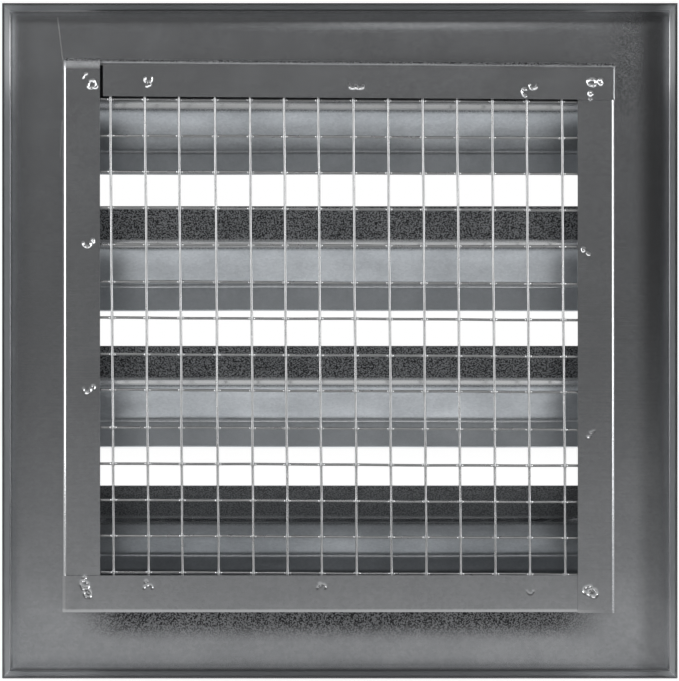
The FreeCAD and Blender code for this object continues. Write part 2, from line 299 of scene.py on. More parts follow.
def turned_tab(start, across, up, radius, length, columns=5):
    """Front and back grids of a tab that turns off the end of a sheet.

    A row goes round a quarter circle from the sheet's heading to the tab's, then straight on.
    """
    across, up = np.asarray(across, float), np.asarray(up, float)
    angle = np.linspace(0, math.pi / 2, 7)
    straight = np.linspace(0, length, columns)[1:]
    right = np.concatenate([radius * np.sin(angle), np.full(len(straight), radius)])
    rise = np.concatenate([radius * (1 - np.cos(angle)), radius + straight])
    heading = np.concatenate([angle, np.full(len(straight), math.pi / 2)])
    middle = start[:, None] + right[:, None] * across + rise[:, None] * up
    normal = np.cos(heading)[:, None] * up - np.sin(heading)[:, None] * across
    return middle + normal * GAUGE / 2, middle - normal * GAUGE / 2


def faced_alike(tab, corner):
    """The tab's two grids, swapped where its first one doesn't start at the sheet's corner."""
    return tab if np.linalg.norm(tab[0][0, 0] - corner) < 0.01 else tab[::-1]


print("a sheet of 3 by 3 points has", len(sheet_faces(3, 3)), "faces")

# %% [markdown]
# A piece is put together from such sheets. Points that two sheets share are merged, so a tab
# or a mitred side grows into its neighbour without a seam, and the closed shell then tells
# which way is out. Edges sharper than thirty degrees stay crisp, as cut sheet does.

# %% Put a piece together and hand it to the frame
def add_piece(name, node, sheets, finish, masks=None, shape=None):
    """Mesh object from a list of (points, faces), given in millimetres.

    masks maps a name to a function of the points, and its values are kept as an attribute
    that the finish reads. shape moves the points, after the sheets are laid out square.
    """
    shift = np.cumsum([0] + [len(points) for points, _ in sheets])[:-1]
    points = np.concatenate([points for points, _ in sheets])
    faces = [face.tolist() for (_, block), start in zip(sheets, shift) for face in block + start]
    mesh = bpy.data.meshes.new(name)
    mesh.from_pydata((points if shape is None else shape(points)) * MM, [], faces)
    for mask, values in (masks or {}).items():
        layer = mesh.attributes.new(mask, "FLOAT", "POINT")
        layer.data.foreach_set("value", values(points).astype(np.float32))
    shell = bmesh.new()
    shell.from_mesh(mesh)
    bmesh.ops.remove_doubles(shell, verts=shell.verts, dist=0.002 * MM)
    bmesh.ops.recalc_face_normals(shell, faces=shell.faces)
    shell.to_mesh(mesh)
    open_edges = sum(len(edge.link_faces) != 2 for edge in shell.edges)
    shell.free()
    mesh.shade_smooth()
    mesh.set_sharp_from_angle(angle=math.radians(30))
    mesh.materials.append(finish)
    piece = bpy.data.objects.new(name, mesh)
    bpy.context.collection.objects.link(piece)
    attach(piece, "root")
    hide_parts(node)
    mesh.calc_loop_triangles()
    print(name, "has", len(mesh.loop_triangles), "triangles and", open_edges, "open edges")


def closed_sheet(front, back, rims="abcd", skip_last=None):
    """Points and faces of one sheet from its two grids of rows and columns."""
    rows, columns = front.shape[:2]
    points = np.concatenate([front.reshape(-1, 3), back.reshape(-1, 3)])
    return points, sheet_faces(rows, columns, rims, skip_last)


def smooth_step(value, low, high):
    """0 below low, 1 above high, and 3t^2 - 2t^3 between them."""
    t = np.clip((value - low) / (high - low), 0, 1)
    return t * t * (3 - 2 * t)


# %% [markdown]
# ## The zinc finish
#
# Galvanised sheet is steel in a thin coat of zinc crystals. Close to, it shows pale and dark
# flecks of a millimetre or two, faint lines along the way it was rolled, and dark specks
# where dirt has settled along the folds. Each effect is a node group, so the flange, the
# sleeve, the blades and the wires share it and use it at their own strength.

# %% Node group: crystal flecks of the zinc coat
def new_group(name, inputs, outputs):
    """Empty shader node group with named sockets, and its two ends."""
    group = bpy.data.node_groups.new(name, "ShaderNodeTree")
    for label, kind, value in inputs:
        socket = group.interface.new_socket(name=label, in_out="INPUT",
                                            socket_type="NodeSocket" + kind)
        if value is not None:
            socket.default_value = value
    for label in outputs:
        group.interface.new_socket(name=label, in_out="OUTPUT", socket_type="NodeSocketFloat")
    return group, group.nodes.new("NodeGroupInput").outputs, group.nodes.new("NodeGroupOutput").inputs


def pass_out(group, ends, **values):
    """Links values to the group's named outputs."""
    for label, value in values.items():
        group.links.new(value, ends[label])


def pair_up(tree, way, first, second):
    """Sum, difference or product of two vectors, part by part."""
    inputs = {0: first, 1: second}
    return add_node(tree, "VectorMath", inputs, operation=way).outputs["Vector"]


FLECK_WOBBLE = 0.0012
CLOUD_SCALE = 45.0
flecks, given, ends = new_group("zinc_flecks",
                                [("Place", "Vector", None), ("Grain", "Float", 900.0)],
                                ["Fleck", "Cloud"])
noise_in = {"Vector": given["Place"], "Scale": given["Grain"], "Detail": 1.0}
wobble = add_node(flecks, "TexNoise", noise_in).outputs["Color"]
bent = pair_up(flecks, "MULTIPLY", wobble, (FLECK_WOBBLE,) * 3)
moved = pair_up(flecks, "ADD", given["Place"], bent)
cells = add_node(flecks, "TexVoronoi", {"Vector": moved, "Scale": given["Grain"]})
shade = add_node(flecks, "SeparateColor", {"Color": cells.outputs["Color"]}).outputs["Red"]
cloud_in = {"Vector": given["Place"], "Scale": CLOUD_SCALE, "Detail": 5.0, "Roughness": 0.6}
cloud = add_node(flecks, "TexNoise", cloud_in).outputs["Fac"]
pass_out(flecks, ends, Fleck=shade, Cloud=remap(flecks, cloud, 0.3, 0.7))
print("flecks group has", len(flecks.nodes), "nodes")

# %% Node group: faint lines along the rolling direction
LINES_PER_METRE = (12.0, 900.0, 1300.0)
roll, given, ends = new_group("rolling_lines", [("Place", "Vector", None)], ["Line"])
drawn = pair_up(roll, "MULTIPLY", given["Place"], LINES_PER_METRE)
lines_in = {"Vector": drawn, "Scale": 1.0, "Detail": 3.0, "Roughness": 0.7}
lines = add_node(roll, "TexNoise", lines_in).outputs["Fac"]
pass_out(roll, ends, Line=remap(roll, lines, 0.3, 0.7))

# %% Node group: dark specks of dirt
FINE_SCALE, BROAD_SCALE = 2000.0, 160.0
FINE_SHARE = 0.65
SPECK_EDGE, EDGE_DROP = 0.78, 0.33
specks, given, ends = new_group("dirt_specks",
                                [("Place", "Vector", None), ("Amount", "Float", 0.3)],
                                ["Speck", "Grit"])
fine, broad = [add_node(specks, "TexNoise", {"Vector": given["Place"], "Scale": scale,
                                             "Detail": 2.0}).outputs["Fac"]
               for scale in (FINE_SCALE, BROAD_SCALE)]
mixed = combine(specks, "ADD", combine(specks, "MULTIPLY", fine, FINE_SHARE),
                combine(specks, "MULTIPLY", broad, 1 - FINE_SHARE))
edge_drop = combine(specks, "MULTIPLY", given["Amount"], EDGE_DROP)
edge = combine(specks, "SUBTRACT", SPECK_EDGE, edge_drop)
above = combine(specks, "SUBTRACT", mixed, edge)
pass_out(specks, ends, Speck=remap(specks, above, 0.0, 0.05), Grit=remap(specks, fine, 0.42, 0.58))

# %% Node group: one straight scratch
scratch, given, ends = new_group("hair_scratch",
                                 [("Place", "Vector", None), ("Start", "Vector", None),
                                  ("End", "Vector", None), ("Width", "Float", 0.0004)],
                                 ["Scratch"])
along = pair_up(scratch, "SUBTRACT", given["End"], given["Start"])
offset = pair_up(scratch, "SUBTRACT", given["Place"], given["Start"])
dots = [add_node(scratch, "VectorMath", {0: one, 1: along}, operation="DOT_PRODUCT").outputs["Value"]
        for one in (offset, along)]
share = add_node(scratch, "Clamp", {"Value": combine(scratch, "DIVIDE", *dots)}).outputs["Result"]
nearest = add_node(scratch, "VectorMath", {0: along, "Scale": share}, operation="SCALE")
gap = add_node(scratch, "VectorMath", {0: offset, 1: nearest.outputs["Vector"]},
               operation="DISTANCE").outputs["Value"]
ratio = combine(scratch, "DIVIDE", gap, given["Width"])
pass_out(scratch, ends, Scratch=remap(scratch, ratio, 0.4, 1.0, 1.0, 0.0))
print("groups:", [group.name for group in bpy.data.node_groups])

# %% [markdown]
# ## Four finishes from the same zinc
#
# The pieces were cut from the same coil, and the bare zinc is a metal with a light cold grey.
# Their finishes differ in how strongly each effect shows, and in tone, which is painted light:
# the blades are paler and the flange darker, as each looks in its light. Four attributes of a
# piece say where its surface changes: fold is painted shade, speckled with gritty dirt; another
# is even painted shadow; another is zinc pressed bright at the weld marks and clean inside the
# walls, and painted highlight on folds, steps, drip edges, returns and wire beads; and dull is
# zinc that stayed rough. The fold mask drives both the colour and the roughness: it paints
# shade into the colour and dulls the zinc.

# %% Zinc finish with its strengths
PAINTED_SHADE_COLOUR = (0.02, 0.02, 0.022, 1.0)
PAINTED_SHADOW_COLOUR = (0.015, 0.015, 0.016, 1.0)
SPECK_COLOUR = (0.05, 0.05, 0.052, 1.0)
SCRATCH_COLOUR = (0.95, 0.95, 0.95, 1.0)
BRIGHT_COLOUR = (0.90, 0.91, 0.92, 1.0)
SCRATCH_WIDTH = 0.00035
SCRATCH_STRENGTH = 0.6
LINE_SHADE = 0.05
CLOUD_ROUGHNESS, FOLD_ROUGHNESS, DULL_ROUGHNESS, MARK_SHINE = 0.05, 0.10, 0.7, 0.18
FLECK_RELIEF, LINE_RELIEF, RELIEF_STRENGTH, RELIEF_HEIGHT = 0.5, 0.3, 0.25, 0.00003


def use_group(tree, group, place, **values):
    """One of the node groups above, placed in a material with its own values."""
    made = tree.nodes.new("ShaderNodeGroup")
    made.node_tree = group
    tree.links.new(place, made.inputs["Place"])
    for name, value in values.items():
        made.inputs[name].default_value = value
    return made


def tint(tree, factor, first, second):
    """Colour between two colours, by a factor."""
    inputs = {0: factor, 6: first, 7: second}
    return add_node(tree, "Mix", inputs, data_type="RGBA").outputs[2]


def weighed(tree, *pairs):
    """Sum of values, each times its weight."""
    total = None
    for value, weight in pairs:
        part = combine(tree, "MULTIPLY", value, weight)
        total = part if total is None else combine(tree, "ADD", total, part)
    return total


def zinc_colour(tree, place, coat, line, here, zinc, dark, looks):
    """Colour of the coat: flecks, clouds and lines shade it, then painted shade and shadow, dirt specks,
    scratches, pale marks and painted highlights lie over it.
    """
    shade = weighed(tree, (coat["Fleck"], looks["flecks"]), (coat["Cloud"], looks["clouds"]),
                    (line, LINE_SHADE))
    colour = tint(tree, shade, (*zinc, 1.0), (*dark, 1.0))
    dust = use_group(tree, specks, place)
    amount = combine(tree, "MULTIPLY", here["fold"], looks["fold_dirt"])
    tree.links.new(amount, dust.inputs["Amount"])
    worn = combine(tree, "MULTIPLY", dust.outputs["Grit"], looks["grit"])
    patchy = combine(tree, "SUBTRACT", 1.0, worn)
    # Painted shade: the fold mask darkens the zinc towards near-black, broken up by grit.
    painted_shade = combine(tree, "MULTIPLY", here["fold"], looks["fold_dark"])
    colour = tint(tree, combine(tree, "MULTIPLY", painted_shade, patchy), colour, PAINTED_SHADE_COLOUR)
    # Painted shadow: an even near-black where this mask lies.
    colour = tint(tree, here["painted_shadow"], colour, PAINTED_SHADOW_COLOUR)
    colour = tint(tree, dust.outputs["Speck"], colour, SPECK_COLOUR)
    for start, end in looks["scratches"]:
        drawn = use_group(tree, scratch, place, Start=start, End=end, Width=SCRATCH_WIDTH)
        seen = combine(tree, "MULTIPLY", drawn.outputs["Scratch"], SCRATCH_STRENGTH)
        colour = tint(tree, seen, colour, SCRATCH_COLOUR)
    # Pale colour of pressed marks, and painted highlights on folds, steps, returns and beads.
    return tint(tree, here["mark_and_highlight"], colour, BRIGHT_COLOUR)


def zinc_finish(name, zinc, dark, roughness, grain, flecks_and_clouds, fold=(0.0, 0.0), grit=0.3,
                scratches=()):
    """Metal finish between a pale and a dark zinc, with the attributes of the piece over it.

    Roughness is its base, plus what clouds, folds and dull places add, less the shine of marks.
    """
    material = bpy.data.materials.new(name)
    material.use_nodes = True
    tree = material.node_tree
    tree.nodes.clear()
    place = add_node(tree, "TexCoord").outputs["Object"]
    coat = use_group(tree, flecks, place, Grain=grain).outputs
    line = use_group(tree, roll, place).outputs["Line"]
    here = {mask: add_node(tree, "Attribute", attribute_name=mask).outputs["Fac"]
            for mask in ("fold", "painted_shadow", "mark_and_highlight", "dull")}
    looks = {"flecks": flecks_and_clouds[0], "clouds": flecks_and_clouds[1], "fold_dirt": fold[0],
             "fold_dark": fold[1], "grit": grit, "scratches": scratches}
    colour = zinc_colour(tree, place, coat, line, here, zinc, dark, looks)
    rough = weighed(tree, (coat["Cloud"], CLOUD_ROUGHNESS), (here["fold"], FOLD_ROUGHNESS),
                    (here["dull"], DULL_ROUGHNESS), (here["mark_and_highlight"], -MARK_SHINE))
    rough = combine(tree, "ADD", rough, roughness)
    relief = weighed(tree, (coat["Fleck"], FLECK_RELIEF), (line, LINE_RELIEF))
    bump = add_node(tree, "Bump", {"Height": relief, "Strength": RELIEF_STRENGTH,
                                   "Distance": RELIEF_HEIGHT}).outputs["Normal"]
    metal = add_node(tree, "BsdfPrincipled", {"Base Color": colour, "Metallic": 1.0,
                                              "Roughness": rough, "Normal": bump})
    add_node(tree, "OutputMaterial", {"Surface": metal.outputs["BSDF"]})
    return material


# %% The four finishes
# The tones are painted light: all the pieces are the same zinc, but the flange and sleeve are set darker
# and the blades paler, as each looks where it stands in the light.
ZINC, DARK_ZINC = (0.52, 0.53, 0.545), (0.33, 0.34, 0.355)
SLEEVE_ZINC = (0.58, 0.59, 0.605)
PALE_ZINC, GREY_ZINC = (0.70, 0.72, 0.74), (0.50, 0.52, 0.54)
WIRE_ZINC, DARK_WIRE_ZINC = (0.50, 0.505, 0.51), (0.36, 0.365, 0.37)
FLANGE_SCRATCHES = [((-0.1080, 0, 0.1235), (-0.1060, 0, 0.1073)),
                    ((-0.1062, 0, 0.0843), (-0.1071, 0, 0.0698))]
flange_zinc = zinc_finish("flange_zinc", ZINC, DARK_ZINC, roughness=0.19, grain=900.0,
                          flecks_and_clouds=(0.25, 0.25), fold=(0.5, 0.97), grit=0.7,
                          scratches=FLANGE_SCRATCHES)
sleeve_zinc = zinc_finish("sleeve_zinc", SLEEVE_ZINC, DARK_ZINC, roughness=0.20, grain=900.0,
                          flecks_and_clouds=(0.20, 0.2), fold=(0.5, 0.92), grit=0.6)
blade_zinc = zinc_finish("blade_zinc", PALE_ZINC, GREY_ZINC, roughness=0.28, grain=1100.0,
                         flecks_and_clouds=(0.40, 0.45), fold=(0.25, 0.97), grit=0.55)
wire_zinc = zinc_finish("wire_zinc", WIRE_ZINC, DARK_WIRE_ZINC, roughness=0.26, grain=600.0,
                        flecks_and_clouds=(0.3, 0.3))
print("finishes:", [material.name for material in bpy.data.materials])

# %% [markdown]
# ## The flange
#
# The flange is one sheet: a flat square face, its outer edges turned back towards the wall
# with a fine mitre at each corner, and a collar turned back round the opening. One profile
# runs from the rim of the returned edge over the face to the collar's end, and it is carried
# round the square. A point at distance R from the centre lies at R * (n + v * t) on each
# side, where n looks out and t along the side, so the sides meet on the diagonals by
# themselves. The sleeve sits a little off the flange's centre, and the centre of the square
# moves over as the profile crosses the face.

# %% Flange sheet
FLANGE_HALF = 127.0
RETURN_DEPTH = 12.7
SLEEVE_HALF = 98.425
SLEEVE_CENTRE = np.array([-0.35, 1.5])
LAP_GAP = 0.15
COLLAR_DEPTH = 12.0
MITRE_GAP = 0.01
ATTIC_FACE = 0.1
RETURN_BEND = 0.6
JOINT = FLANGE_HALF - GAUGE - RETURN_BEND - 1
WAVE_STARTS = (SLEEVE_HALF + 1.5, SLEEVE_HALF + 9)
WAVE_ENDS = (118, 125)
QUARTERS = [(math.sin(turn), math.cos(turn)) for turn in np.radians([0, 90, 180, 270])]


def flange_wave(x, z):
    """Slight waves of the face, in millimetres: three long sines, never proud of the flat face."""
    wave = np.sin(x / 31 + 0.6) * np.cos(z / 44 + 0.3) + 0.7 * np.sin(z / 27 - x / 60 + 1.1)
    return 0.10 * (wave - 1.7)


def flange_side(line, normals, out, gap_share, width=41):
    """Front and back grids of one side of the flange, from a profile of (distance, depth).

    A face is the profile moved half a gauge along its normals, then carried along the side.
    """
    n = np.array(out)
    t = np.array([out[1], -out[0]])
    across = np.linspace(-1, 1, width)
    grids = []
    for face in (GAUGE / 2, -GAUGE / 2):
        reach, depth = (line + face * normals).T
        middle = 1 - smooth_step(reach, SLEEVE_HALF + 4, JOINT - 2)
        half = reach - MITRE_GAP * gap_share
        flat = (reach[:, None, None] * n + (half[:, None] * across)[..., None] * t
                + (middle[:, None] * SLEEVE_CENTRE)[:, None, :])
        x, z = flat[..., 0], flat[..., 1]
        free = smooth_step(reach, *WAVE_STARTS) * (1 - smooth_step(reach, *WAVE_ENDS))
        y = depth[:, None] + free[:, None] * flange_wave(x, z)
        grids.append(np.stack([x, y, z], axis=-1))
    return grids


rim_reach = FLANGE_HALF - GAUGE / 2
collar_reach = SLEEVE_HALF + LAP_GAP + GAUGE / 2
face_depth = GAUGE / 2
outer_line, outer_normals, _ = folded_line([(rim_reach, -RETURN_DEPTH), (rim_reach, face_depth),
                                            (JOINT, face_depth)], 2.2, RETURN_BEND + GAUGE / 2)
inner_line, inner_normals, _ = folded_line([(JOINT, face_depth), (collar_reach, face_depth),
                                            (collar_reach, -COLLAR_DEPTH)], 1.6)
open_share = smooth_step(outer_line[:, 0] - outer_line[:, 1] - JOINT + face_depth, 0, 1.2)
flange_sheets = []
for out in QUARTERS:
    flange_sheets.append(closed_sheet(*flange_side(outer_line, outer_normals, out, open_share), "acd"))
    flange_sheets.append(closed_sheet(*flange_side(inner_line, inner_normals, out, 0), "b"))


def window(value, rise, fall):
    """1 between two limits and 0 outside, with a smooth step up and another down."""
    return smooth_step(value, *rise) * (1 - smooth_step(value, *fall))


def flange_shade_beside_sleeve(points):
    """Painted shade beside the sleeve, most of it below and at the upper right, with gritty specks."""
    x, y, z = points.T
    reach = np.abs(points[:, [0, 2]]).max(axis=1)
    beside = 0.5 * (1 - smooth_step(reach, 99, 106))
    below = window(-z, (90, 97), (107, 116)) * (1 - smooth_step(abs(x), 80, 105))
    corner = 0.5 * window(x, (98, 108), (114, 122)) * smooth_step(z, 55, 100)
    return np.where(y < ATTIC_FACE, np.clip(beside + below + corner, 0, 1), 0)


def flange_painted_shade(points):
    """Painted shade: an even dark band along the right edge and dark creases inside the returns; the rims
    are darker too.
    """
    x, y, z = points.T
    reach = np.abs(points[:, [0, 2]]).max(axis=1)
    higher = 0.6 + 0.4 * smooth_step(z, -60, 60)
    band = 0.62 * window(x, (112, 119.5), (124.5, 125.6)) * higher
    deeper = np.where(z < -120, 0.6, 0.2)
    crease = window(reach, (125.2, 125.6), (126.25, 126.44)) * deeper
    rim = 0.55 * (1 - smooth_step(y, -12.6, -10.5))
    return np.where(y < ATTIC_FACE, np.maximum(np.maximum(band, crease), rim), 0)


def inside_returns(points):
    """Inner faces of the returns, painted pale as a painted reflection of the side lamps, and matt."""
    x, y, z = points.T
    sides, ends = [window(np.abs(value), (126.2, 126.44), (126.5, 126.9)) for value in (x, z)]
    return np.maximum(sides, 0.5 * ends) * smooth_step(y, -12.6, -9)


flange_masks = {"fold": flange_shade_beside_sleeve, "painted_shadow": flange_painted_shade, "dull": inside_returns,
                "mark_and_highlight": inside_returns}
add_piece("folded_flange", "face_flange", flange_sheets, flange_zinc, flange_masks)

# %% [markdown]
# ## Weld marks
#
# The sleeve's sides hold the blades and the mesh by spot welds. The electrodes pressed small
# rings and arcs into the back lips, and the pressed zinc shines. They are modelled as pressed
# shapes in the sheet itself: the depth is a bell curve of the distance from a circle, times a
# window over part of the circle. The same field is kept as a mask, so the marks also shine.

# %% Where the electrodes pressed
# Each row: pixel right, pixel down, radius in pixels, middle of the arc and its spread in
# degrees, and strength. A spread of 360 is a whole ring.
WELD_STROKES = np.array([
    (91.0, 85.5, 3.6, 0, 360, 1.0), (86.5, 79.0, 3.8, 135, 110, 0.8), (95.0, 88.0, 1.2, 0, 360, 0.7),
    (147.5, 80.0, 3.2, 270, 250, 1.0), (146.5, 86.0, 0.9, 0, 360, 0.7), (148.5, 85.0, 0.9, 0, 360, 0.7),
    (352.0, 84.0, 3.2, 270, 200, 0.9), (359.5, 84.5, 3.2, 270, 200, 0.9),
    (525.0, 90.0, 3.4, 180, 230, 1.0), (533.0, 83.0, 3.4, 270, 210, 1.0),
    (591.5, 79.5, 3.6, 0, 360, 1.0), (600.0, 79.0, 2.2, 0, 360, 0.9), (590.0, 91.0, 1.6, 0, 360, 0.9),
    (590.0, 95.5, 1.2, 270, 180, 0.7),
    (84.0, 577.0, 1.0, 0, 360, 1.0), (84.0, 584.5, 4.0, 0, 360, 1.0), (84.5, 585.0, 1.8, 270, 200, 0.8),
    (87.0, 593.0, 3.6, 0, 360, 0.9), (88.0, 592.0, 1.4, 0, 360, 0.7),
    (587.5, 589.5, 4.0, 0, 360, 1.0), (592.5, 592.5, 4.0, 0, 360, 1.0), (590.0, 591.0, 1.6, 0, 360, 0.8),
    (145.5, 581.0, 1.0, 0, 360, 0.8), (147.5, 588.0, 3.8, 90, 190, 0.9),
    (321.0, 588.0, 4.0, 90, 190, 0.9), (319.5, 584.0, 1.2, 0, 360, 0.7), (530.0, 589.0, 4.0, 270, 140, 0.5),
    (86.0, 242.0, 4.0, 270, 200, 1.0), (91.5, 241.0, 1.6, 45, 200, 1.0),
    (86.0, 388.0, 4.0, 270, 200, 0.9), (92.0, 387.0, 1.6, 45, 200, 0.9),
    (583.0, 249.0, 1.3, 0, 360, 0.9), (589.0, 251.5, 2.4, 240, 120, 0.8),
    (590.5, 428.5, 3.6, 290, 80, 0.8), (587.5, 433.0, 3.6, 290, 80, 0.8),
])
LIP_REAR = -50.8
STROKE_WIDTH = 0.34
STROKE_DEPTH = 0.28
STROKE_REACH = 4
ARC_FADE = 20
stroke_x, stroke_z = seen_at(WELD_STROKES[:, 0], WELD_STROKES[:, 1], LIP_REAR)
stroke_radius = WELD_STROKES[:, 2] * (CAMERA_DISTANCE + LIP_REAR) / FOCAL_PIXELS


def weld_field(x, z):
    """0 on plain sheet and up to 1 on a pressed stroke, for arrays of places.

    A stroke is exp(-(gap / width)^2) of the gap from its circle. The circle is a little uneven,
    the arc fades at its ends, and the pressure wavers round it.
    """
    field = np.zeros_like(x)
    for row, sx, sz, radius in zip(WELD_STROKES, stroke_x, stroke_z, stroke_radius):
        middle, spread, strength = row[3:]
        near = np.flatnonzero((np.abs(x - sx) < STROKE_REACH) & (np.abs(z - sz) < STROKE_REACH))
        dx, dz = x[near] - sx, z[near] - sz
        angle = np.arctan2(dz, dx)
        uneven = radius * (1 + 0.10 * np.sin(2 * angle + sx) + 0.07 * np.sin(3 * angle + sz))
        ring = np.exp(-((np.hypot(dx, dz) - uneven) / STROKE_WIDTH) ** 2)
        off = np.abs((np.degrees(angle) - middle + 180) % 360 - 180)
        ends = (spread / 2 - ARC_FADE, spread / 2 + ARC_FADE)
        on_arc = 1 if spread >= 360 else 1 - smooth_step(off, *ends)
        beaded = 0.8 + 0.2 * np.sin(5 * angle + 7 * sx)
        field[near] = np.maximum(field[near], strength * ring * on_arc * beaded)
    return field


print("weld strokes:", len(WELD_STROKES))

# %% [markdown]
# ## The sleeve
#
# Four sides, each one folded sheet: a wall, a lip turned in at the back, and a tab turned
# round the next corner. The lips lap like a pinwheel, and each fold leans back by one sheet
# along its length so that one end covers its neighbour and the other is tucked under. The
# top side was welded on slightly askew, and the pieces near it followed. That is a field
# over the sleeve and the blades, so no gap between them changes. The top lip also stops
# short of the left one, and its right end is rolled forward a little.

# %% The sleeve's lean and its top side's skew
SLEEVE_DEPTH = -LIP_REAR
LIP_WIDTH = 13.3
TAB_WIDTH = 10.0
TAB_FRONT, TAB_BACK = -14.0, -46.0
TAB_BEND = 0.3 + GAUGE / 2
TUCK = GAUGE + LAP_GAP
TUCKED_END = -(SLEEVE_HALF - GAUGE - BEND_INSIDE)
TOP_SKEW = 0.8
ROLLED_END = 0.15
TOP_LIP_START = -84.1
SIDE_SPAN = SLEEVE_HALF - TUCKED_END
LIP_ZONE = LIP_REAR + GAUGE + TUCK + 0.3
FINE_STEP = 0.25
END_STEPS = np.array([1.2, 0.9, 0.65, 0.45, 0.3, 0.15, 0])
TOP = QUARTERS[0]


def skewed(points):
    """Top of the sleeve higher at the left and lower at the right, more so towards the back."""
    x, y, z = points.T
    share = smooth_step(z, 45, 92) * np.clip(-y / SLEEVE_DEPTH, 0, 1)
    return np.stack([x, y, z - TOP_SKEW * share * x / SLEEVE_HALF], axis=1)


def pressed(points):
    """The skew, and the weld marks pressed into the back lips."""
    x, y, z = points.T
    lip = y < LIP_ZONE
    moved = points.copy()
    moved[lip, 1] += STROKE_DEPTH * weld_field(x[lip], z[lip])
    return skewed(moved)


def stations(out):
    """Places along one side: every 4 mm, every 0.25 mm round its weld marks, and a few at its end.

    The top lip is later squeezed to start at TOP_LIP_START, so its marks' places are first
    mapped back from there.
    """
    n, t = np.array(out), np.array([out[1], -out[0]])
    offsets = np.stack([stroke_x, stroke_z], axis=1) - SLEEVE_CENTRE
    height, place = offsets @ n, offsets @ t
    if out == TOP:
        squeeze = (SLEEVE_HALF - TOP_LIP_START) / SIDE_SPAN
        place = TUCKED_END + (place - TOP_LIP_START) / squeeze
    here = (height > SLEEVE_HALF - 15) & (height < SLEEVE_HALF)
    fine = [np.arange(x - 3, x + 3, FINE_STEP) for x in place[here]]
    even = np.linspace(TUCKED_END, SLEEVE_HALF, 50)
    inner = np.unique(np.round(np.concatenate([even, *fine]) / FINE_STEP) * FINE_STEP)
    inner = inner[(inner > TUCKED_END + 0.15) & (inner < SLEEVE_HALF - 1.4)]
    return np.concatenate([[TUCKED_END], inner, SLEEVE_HALF - END_STEPS])


print("the top side has", len(stations(TOP)), "stations")

# %% Make the four sides
wall = SLEEVE_HALF - GAUGE / 2
lip_line = -SLEEVE_DEPTH + GAUGE / 2
side_line, side_normals, side_rows = folded_line(
    [(0, wall), (TAB_FRONT, wall), (TAB_BACK, wall), (lip_line, wall),
     (lip_line, SLEEVE_HALF - LIP_WIDTH)], 2.0, arc_steps=9)
LIP_ROWS = 49
lip_start = int(np.argmax(side_line[:, 1] < wall - BEND_MIDDLE - 0.01))
lip_steps = np.linspace(side_line[lip_start - 1, 1], SLEEVE_HALF - LIP_WIDTH, LIP_ROWS + 1)[1:]
lip_rows = np.stack([np.full(LIP_ROWS, lip_line), lip_steps], axis=1)
side_line = np.concatenate([side_line[:lip_start], lip_rows])
side_normals = np.concatenate([side_normals[:lip_start], np.tile(side_normals[-1], (LIP_ROWS, 1))])


def sleeve_side(out):
    """Sheets of one side. Depth and height come from the profile, x from the stations.

    The lean is one sheet and a gap at the tucked end, and falls evenly to 0 at the other. It
    grows with depth, from nothing at the flange.
    """
    n, t = np.array(out), np.array([out[1], -out[0]])
    x = stations(out)
    lean = TUCK * (SLEEVE_HALF - x) / SIDE_SPAN
    first, last = side_rows[1], side_rows[2]
    is_wall = side_line[:, 1] > wall - 0.01
    shorter = np.where(is_wall, SLEEVE_HALF - LAP_GAP, SLEEVE_HALF)
    is_lip = side_line[:, 1] < SLEEVE_HALF - BEND_MIDDLE - 0.5
    begin = np.where(is_lip & (out == TOP), TOP_LIP_START, TUCKED_END)
    places = begin[:, None] + (x - TUCKED_END) * ((shorter - begin) / SIDE_SPAN)[:, None]
    rolled = ROLLED_END * (out == TOP) * smooth_step(x, SLEEVE_HALF - 0.9, SLEEVE_HALF)
    grids = []
    for face in (GAUGE / 2, -GAUGE / 2):
        depth, height = (side_line + face * side_normals).T
        flat = (SLEEVE_CENTRE + height[:, None, None] * n + places[..., None] * t)
        share = np.clip(-depth / SLEEVE_DEPTH, 0, 1)
        y = depth[:, None] + lean * share[:, None] + rolled * is_lip[:, None]
        grids.append(np.stack([flat[..., 0], y, flat[..., 1]], axis=-1))
    middle = (grids[0] + grids[1])[first:last + 1, -1] / 2
    tab = turned_tab(middle, (t[0], 0, t[1]), (-n[0], 0, -n[1]), TAB_BEND,
                     TAB_WIDTH - GAUGE / 2 - TAB_BEND)
    tab = faced_alike(tab, grids[0][first, -1])
    return [closed_sheet(*grids, skip_last=(first, last)), closed_sheet(*tab, rims="abd")]


def sleeve_fold_shade(points):
    """Darker beside the back fold and at the top lip's right end, and far darker on the top fold, which is
    painted shade; gritty specks go with it.
    """
    reach = np.abs(points[:, [0, 2]] - SLEEVE_CENTRE).max(axis=1)
    top = smooth_step(points[:, 2], 98.3, 99.3)
    corner = smooth_step(points[:, 0], 30, 60) * smooth_step(points[:, 2], 96, 98.4)
    return np.clip(0.07 * smooth_step(reach, 96, 97.6) + 0.9 * top + 0.3 * corner, 0, 1)


def sleeve_shine(points):
    """The weld field on the back lips, a painted highlight on the left and lower folds, and clean inner
    faces of the walls.
    """
    x, y, z = points.T
    reach = np.abs(points[:, [0, 2]] - SLEEVE_CENTRE).max(axis=1)
    left_or_low = (1 - smooth_step(x, 85, 95)) * (1 - smooth_step(z, 60, 90))
    # Painted highlight along the left and lower back folds.
    fold = 0.5 * smooth_step(reach, 97.0, 97.6) * (1 - smooth_step(y, -49.8, -49.2)) * left_or_low
    inner = 0.6 * (reach < SLEEVE_HALF - GAUGE + 0.05) * smooth_step(y, -48, -45)
    return np.maximum(np.where(y < LIP_ZONE, weld_field(x, z), 0), fold + inner)


def dull_top(points):
    """The top fold, whose zinc is rough and grainy."""
    return 0.7 * smooth_step(points[:, 2], 98.2, 98.9)


